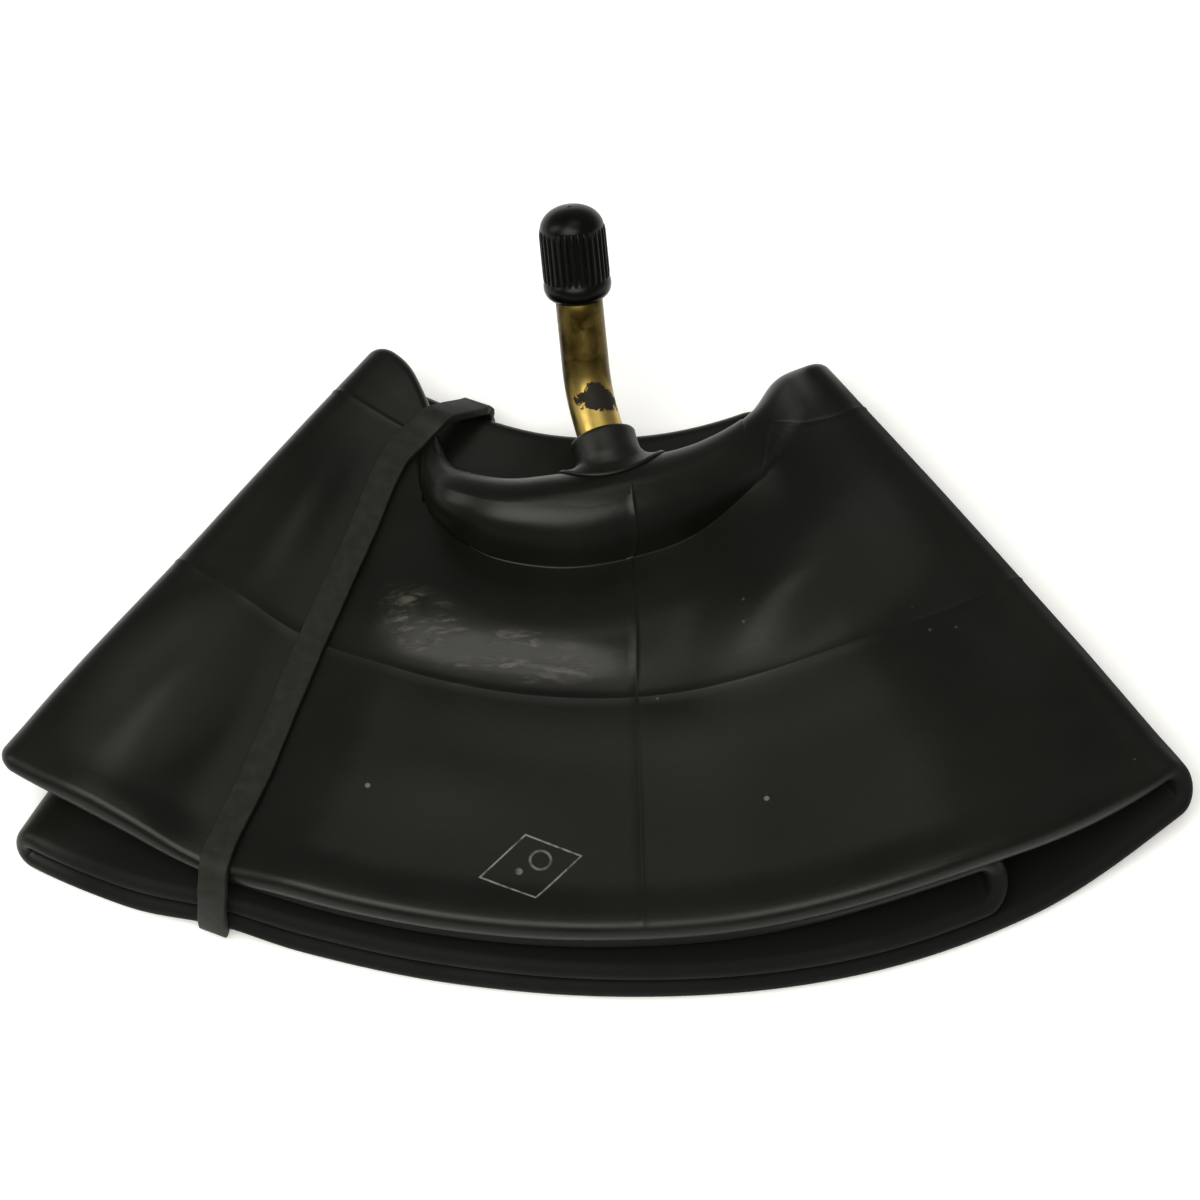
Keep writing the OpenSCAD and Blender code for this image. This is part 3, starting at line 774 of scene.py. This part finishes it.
def make_patch():
    turn = turns(120)
    inner = np.linspace(0.8, PATCH_R - 0.9, 26)
    edge = [(PATCH_R - 0.5, 0.06), (PATCH_R - 0.2, 0.04), (PATCH_R, -0.02), (PATCH_R - 0.1, -0.5)]
    pressed = 1.2 * unit_step((0.85 - np.cos(turn)) / 0.35)[:, None]

    def layer(r, off):
        return on_lip(r, turn, off - pressed * max(0, (r - 12) / (PATCH_R - 12)) ** 2)

    rings = [layer(r, 0.08) for r in inner] + [layer(r, off) for r, off in edge]
    rings += [layer(r, -0.8) for r in inner[::-1][::3]]
    poles = [on_lip(0.01, np.float64(0), 0.08), on_lip(0.01, np.float64(0), -0.8)]
    return outward(disc_piece("valve_patch_skin", rings, poles))


def turned(axis, angle):
    return np.array(Matrix.Rotation(math.radians(angle), 3, axis))


VALVE_ROOT = polar(hub_r(1, VALVE_ANGLE) + 1.2, VALVE_ANGLE,
                   middle(1, VALVE_ANGLE, hub_r(1, VALVE_ANGLE) + 9) + ROOT_RISE)
COLLAR_AXES = turned("Z", VALVE_YAW) @ turned("X", VALVE_LIFT - 90)
STEM_AXES = COLLAR_AXES @ turned("Z", BEND_ROLL)
BEND_START = COLLAR_H + LOWER_LEG
BEND_LENGTH = BEND_R * math.radians(BEND_ANGLE)
STEM_LENGTH = BEND_START + BEND_LENGTH + UPPER_LEG


def stem_place(s):
    """Centre and axes of the stem, s millimetres from the collar's foot."""
    angle = np.clip(s - BEND_START, 0, BEND_LENGTH) / BEND_R
    axes = STEM_AXES @ turned("X", math.degrees(angle))
    centre = np.array([0, -BEND_R + BEND_R * math.cos(angle),
                       min(s, BEND_START) + BEND_R * math.sin(angle)])
    beyond = max(s - BEND_START - BEND_LENGTH, 0)
    return VALVE_ROOT + STEM_AXES @ centre + axes[:, 2] * beyond, axes


def stem_ring(s, radius, m):
    centre, axes = stem_place(s)
    turn = turns(m)[:, None]
    return centre + radius * (np.cos(turn) * axes[:, 0] + np.sin(turn) * axes[:, 1])


def make_collar():
    turn = turns(96)
    across = np.cos(turn)[:, None] * COLLAR_AXES[:, 0] - np.sin(turn)[:, None] * COLLAR_AXES[:, 1]
    axis = COLLAR_AXES[:, 2]
    foot = ((on_lip(COLLAR_R, turn, 0.0) - VALVE_ROOT) @ axis)[:, None]

    def sleeve(radius, share, fixed=0.0):
        height = mix(foot + 1.7, COLLAR_H, share) + fixed
        return VALVE_ROOT + radius * across + height * axis

    rings = [on_lip(FOOT_R + r, turn, off) for r, off in
             ((-0.2, -0.3), (0.05, 0.15), (0.02, 0.4), (-0.25, 0.6), (-0.7, 0.5), (-1.6, 0.5),
              (-2.5, 0.75))]
    rings.append(on_lip(COLLAR_R + 0.45, turn, 1.15))
    rings += [sleeve(COLLAR_R + r, t) for r, t in
              ((0.08, 0), (0, 0.2), (-0.03, 0.4), (-0.02, 0.6), (0.02, 0.8), (0.04, 0.9))]
    rings += [sleeve(COLLAR_R + r, 1, h) for r, h in
              ((0.0, -0.4), (-0.12, -0.16), (-0.32, -0.04), (-0.6, 0))]
    rings += [sleeve(STEM_R + r, 1, h) for r, h in
              ((0.25, -0.02), (0.02, -0.15), (-0.2, -0.6), (-0.4, -7))]
    piece = make_mesh("valve_collar", np.concatenate(rings), ring_faces(len(rings), len(turn)))
    return outward(piece)


def make_stem():
    m = 96
    mouth = STEM_LENGTH
    thread_low = mouth - THREAD_L
    root_r = THREAD_R - 0.42
    profile = [(0.4, STEM_R)]
    profile += [(s, STEM_R) for s in np.linspace(2, BEND_START, 10)]
    profile += [(BEND_START + s, STEM_R) for s in np.linspace(0, BEND_LENGTH, 22)[1:]]
    straight = np.linspace(BEND_START + BEND_LENGTH, thread_low - 0.3, 14)[1:]
    profile += [(s, STEM_R) for s in straight]
    profile += [(thread_low - 0.1, STEM_R - 0.08), (thread_low + 0.15, root_r + 0.1),
                (thread_low + 0.35, root_r)]
    profile += [(s, root_r) for s in np.linspace(thread_low + 1.2, mouth - 0.6, 8)]
    profile += [(mouth - 0.12, root_r - 0.05), (mouth, root_r - 0.2), (mouth, 2.98),
                (mouth - 0.25, 2.74), (mouth - 7, 2.71), (mouth - 9.5, 2.1), (mouth - 20.8, 2.1)]
    rings = [stem_ring(s, r, m) for s, r in profile]
    poles = [stem_place(profile[0][0])[0], stem_place(profile[-1][0])[0]]
    return outward(disc_piece("bent_stem", rings, poles))


# ---------- the dust cap ----------
def mouth_point(points):
    """Points given in the stem mouth's frame: z out of the mouth, 0 on its rim."""
    centre, axes = stem_place(STEM_LENGTH)
    return centre + np.asarray(points) @ axes.T


def lathe(name, profile, m=96):
    """A solid of revolution about the valve's outer axis; the profile starts and ends on it."""
    turn = turns(m)
    rings = []
    for r, z in profile[1:-1]:
        rings.append(mouth_point(np.stack([r * np.cos(turn), r * np.sin(turn), z + 0 * turn], -1)))
    poles = mouth_point([(0, 0, profile[0][1]), (0, 0, profile[-1][1])])
    return outward(disc_piece(name, rings, poles))


def make_cap():
    skirt = [(4.0, 0.35), (4.15, 0.06), (4.35, 0), (4.7, 0.05), (5.1, 0.42), (5.4, 0.85),
             (5.6, 1.4), (5.7, 2.0), (5.69, 2.5), (5.6, 2.95), (5.42, 3.25)]
    wall = [(CAP_SIDE, z) for z in np.linspace(3.6, CAP_SHOULDER, 8)]
    rise = CAP_H - 0.15 - CAP_SHOULDER
    dome = [((CAP_SIDE + 0.12) * math.cos(p) ** 0.92, CAP_SHOULDER + rise * math.sin(p))
            for p in np.radians(np.arange(8, 90, 4))]
    bore = [(0, 13.9), (2.5, 13.9), (2.9, 13.5), (2.9, 10.2), (4.46, 10.12), (4.46, 9.0),
            (3.93, 8.9), (3.93, 0.6)]
    profile = [(r, z + CAP_SEAT) for r, z in bore + skirt + wall + dome + [(0, CAP_H - 0.15)]]
    return lathe("cap_shell", profile)


def make_rib():
    """One rib of the cap, along z and standing out along x."""
    rings = []
    for z in (2.5, 2.8, 3.4, 4.2, 6, 8, 10, 11.2, 11.9, 12.4, 12.8):
        fade = min(1, (z - 2.3) / 1.2, (12.95 - z) / 1.3)
        turn = turns(12)
        rings.append(np.stack([CAP_SIDE - 0.1 + 0.42 * fade * np.cos(turn),
                               0.36 * fade ** 0.5 * np.sin(turn), z + CAP_SEAT + 0 * turn], -1))
    ends = [(CAP_SIDE - 0.1, 0, 2.45 + CAP_SEAT), (CAP_SIDE - 0.1, 0, 12.85 + CAP_SEAT)]
    return outward(disc_piece("cap_ribs", rings, ends))


# ---------- the rubber band ----------
def band_top(r):
    a = keyed(r, BAND_LINE)
    return under(1, a, r) + 2 * half_thickness(1, a, r) + BAND_T / 2 + 0.15


def band_route():
    """The band's middle line as (radius, height): over the top, down past the tread edge, back
    underneath and up past the hub edge."""
    hub = HUB_R - BAND_T / 2 - 0.4
    side = rim_r(4, np.float64(-23)) + BAND_T / 2 + 0.3
    flat = BAND_T / 2 + 0.08
    top = [(r, float(band_top(np.float64(r))))
           for r in (72, 78, 86, 96, 106, 116, 126, 136, 146, 153, 157.5)]
    return ([(hub + 0.2, 8), (hub + 1, 10), (hub + 2.6, 11.6), (64.5, 15.2), (68, 17.6)] + top
            + [(160.4, float(band_top(np.float64(156))) - 0.5), (162.6, 13.6), (side - 0.6, 10.5),
               (side, 6.5), (side - 0.1, 3.2), (side - 1.2, 1.3), (side - 3.6, flat)]
            + [(r, flat) for r in range(152, 67, -12)]
            + [(hub + 4, flat), (hub + 1, 1.5), (hub, 3.4), (hub, 5.8)])


def smooth_loop(points, per_span):
    """A closed Catmull-Rom curve through the points."""
    p = np.asarray(points, float)
    out = []
    for i in range(len(p)):
        a, b, c, d = (p[(i + j) % len(p)] for j in (-1, 0, 1, 2))
        for t in np.arange(per_span) / per_span:
            out.append(0.5 * (2 * b + (c - a) * t + (2 * a - 5 * b + 4 * c - d) * t * t
                              + (3 * b - a - 3 * c + d) * t ** 3))
    return np.array(out)


def make_band():
    route = smooth_loop(band_route(), 10)
    angle = keyed(route[:, 0], BAND_LINE)
    line = polar(route[:, 0], angle, route[:, 1])
    along = np.roll(line, -1, 0) - np.roll(line, 1, 0)
    along /= np.linalg.norm(along, axis=1, keepdims=True)
    ra = np.radians(angle)
    side = np.stack([np.cos(ra), np.sin(ra), 0 * ra], -1)
    side -= (side * along).sum(1, keepdims=True) * along
    side /= np.linalg.norm(side, axis=1, keepdims=True)
    up = np.cross(along, side)
    rng = np.random.default_rng(3)
    wobble = np.interp(np.arange(len(line)), np.linspace(0, len(line), 60), rng.normal(0, 0.07, 60))
    half_w, half_t, soft = BAND_W / 2, BAND_T / 2, 0.22
    corners = []
    for sx, sy, start in ((1, 1, 0), (-1, 1, 90), (-1, -1, 180), (1, -1, 270)):
        for p in (0, 30, 60, 90):
            q = math.radians(start + p)
            corners.append((sx * (half_w - soft) + soft * math.cos(q),
                            sy * (half_t - soft) + soft * math.sin(q)))
    sections = [[centre + (x + w * np.sign(x)) * s + y * u for x, y in corners]
                for centre, w, s, u in zip(line, wobble, side, up)]
    faces = ring_faces(len(sections), len(corners))
    return outward(make_mesh("rubber_band_strip", np.concatenate(sections), faces))


# ---------- the finishes, also on the CAD nodes that stay ----------
rubber = rubber_material("butyl_rubber")
FLASH_POINT = stem_place(BEND_START + 4.2)[0] + STEM_R * np.array((0.35, -0.57, 0.74))
brass = brass_material("worn_brass")
collar_rubber = grained_material("collar_rubber", (0.0035, 0.0036, 0.0025),
                                 (0.0052, 0.0053, 0.0037), (0.38, 0.47), 0.25)
plastic = grained_material("cap_plastic", (0.0008, 0.0008, 0.0005), (0.0013, 0.0013, 0.0009),
                           (0.25, 0.33), 0.13, relief=0.08)
band_rubber = grained_material("band_rubber", (0.0072, 0.0075, 0.0054),
                               (0.0122, 0.0125, 0.0095), (0.58, 0.66), 0.2, relief=0.2)
core_brass = grained_material("core_brass", (0.5, 0.36, 0.12), (0.62, 0.46, 0.18), (0.24, 0.36),
                              metallic=1.0)
steel = grained_material("spring_steel", (0.4, 0.4, 0.41), (0.52, 0.52, 0.53), (0.2, 0.3),
                         metallic=1.0, relief=0.08)
seal = grained_material("seal_rubber", (0.01, 0.01, 0.01), (0.02, 0.02, 0.019), (0.6, 0.7), 0.3)
red_seal = grained_material("red_seal", (0.3, 0.018, 0.012), (0.42, 0.03, 0.02), (0.5, 0.6), 0.3)
finishes = {"butyl_rubber": rubber, "valve_rubber": collar_rubber, "band_rubber": band_rubber,
            "seal_rubber": seal, "red_seal": red_seal, "brass": brass, "core_brass": core_brass,
            "spring_steel": steel, "cap_plastic": plastic}
for part in frame["record"]["subparts"]:
    node = frame["nodes"][part["node"]]
    node.data.materials.clear()
    node.data.materials.append(finishes[part["material_slot"]])

# ---------- the pieces ----------
ride_and_stand_for(outward(make_tube()), "tube_body", ["tube"], rubber)
ride_and_stand_for(make_patch(), "tube_body", ["valve_patch"], rubber)
ride_and_stand_for(make_collar(), "tube_body", ["valve_base"], collar_rubber)
ride_and_stand_for(make_stem(), "tube_body", ["valve_stem"], brass)
ride_and_stand_for(make_band(), "tube_body", ["rubber_band"], band_rubber)
ride_and_stand_for(make_cap(), "cap", ["dust_cap"], plastic)

# pieces grown about the stem's outer axis
mouth_centre, mouth_axes = stem_place(STEM_LENGTH)
mouth_frame = Matrix([[*(mouth_axes[i]), mouth_centre[i] * MM] for i in range(3)] + [[0, 0, 0, 1]])
ribs = grown(make_rib(), circle_tree(), {"Count": CAP_RIBS, "Material": plastic}, mouth_frame)
ride_and_stand_for(ribs, "cap", [], plastic)

thread_length = THREAD_L - 2 * THREAD_CREST + 0.09
thread_start = mouth_frame @ Matrix.Translation((0, 0, (THREAD_CREST - 0.07 - THREAD_L) * MM))
thread = grown(make_mesh("stem_thread", [(0, 0, 0)], []), wound_tree(),
               {"Turns": thread_length / THREAD_PITCH, "Radius": (THREAD_R - THREAD_CREST) * MM,
                "Height": thread_length * MM, "Wire": THREAD_CREST * MM, "Material": brass},
               thread_start)
ride_and_stand_for(outward(thread), "tube_body", [], brass)

spring_length = SPRING_HIGH - SPRING_LOW
spring_start = mouth_frame @ Matrix.Translation((0, 0, (SPRING_LOW + SPRING_WIRE) * MM))
spring = grown(make_mesh("valve_spring", [(0, 0, 0)], []), wound_tree(),
               {"Turns": SPRING_TURNS, "Radius": SPRING_R * MM, "Wire": (SPRING_WIRE - 0.01) * MM,
                "Height": (spring_length - 2 * SPRING_WIRE) * MM, "Material": steel},
               spring_start)
ride_and_stand_for(outward(spring), "core", ["core_spring"], steel)
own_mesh(spring)


# ---------- floor, light and camera ----------
def make_floor():
    side = 3000
    points = [(x * side, y * side, -0.02) for x, y in ((-1, -1), (1, -1), (1, 1), (-1, 1))]
    floor = make_mesh("floor", points, [(0, 1, 2, 3)])
    white, _, shader = new_material("pale_floor")
    shader.inputs["Base Color"].default_value = (0.9, 0.9, 0.9, 1)
    shader.inputs["Roughness"].default_value = 0.9
    shader.inputs["Metallic"].default_value = 0.0
    shader.inputs["Emission Color"].default_value = (1, 1, 1, 1)
    shader.inputs["Emission Strength"].default_value = 0.2
    floor.data.materials.append(white)


def make_softbox(name, place, target, size, watts):
    light = bpy.data.lights.new(name, "AREA")
    light.shape = "RECTANGLE"
    light.size, light.size_y = size
    light.energy = watts
    light.color = (1, 0.985, 0.9)
    lamp = bpy.data.objects.new(name, light)
    lamp.location = place
    lamp.rotation_euler = (Vector(target) - Vector(place)).to_track_quat("-Z", "Y").to_euler()
    bpy.context.scene.collection.objects.link(lamp)


def make_camera():
    elevation, distance, view_width = math.radians(60), 1.3, 0.2014
    target = Vector((0.00005, 0.009587, 0.005535))
    back = Vector((0, -math.cos(elevation), math.sin(elevation)))
    camera = bpy.data.cameras.new("camera")
    camera.sensor_width = 36
    camera.lens = 36 * distance / view_width
    camera.clip_end = 20
    holder = bpy.data.objects.new("camera", camera)
    holder.location = target + back * distance
    holder.rotation_euler = back.to_track_quat("Z", "Y").to_euler()
    bpy.context.scene.collection.objects.link(holder)
    bpy.context.scene.camera = holder


make_floor()
make_softbox("key", (-0.25, -0.75, 1.35), (0, 0, 0), (1.4, 1.0), 23)
make_softbox("top", (-0.1, 0.06, 1.5), (0, 0, 0), (1.6, 0.7), 5)
make_softbox("left", (-1.3, 0.1, 0.8), (0, 0, 0), (0.5, 0.9), 5.5)
world = bpy.data.worlds.new("studio")
world.use_nodes = True
world.node_tree.nodes["Background"].inputs["Color"].default_value = (1, 1, 1, 1)
world.node_tree.nodes["Background"].inputs["Strength"].default_value = 0.3
bpy.context.scene.world = world
bpy.context.scene.view_settings.view_transform = "Standard"
make_camera()
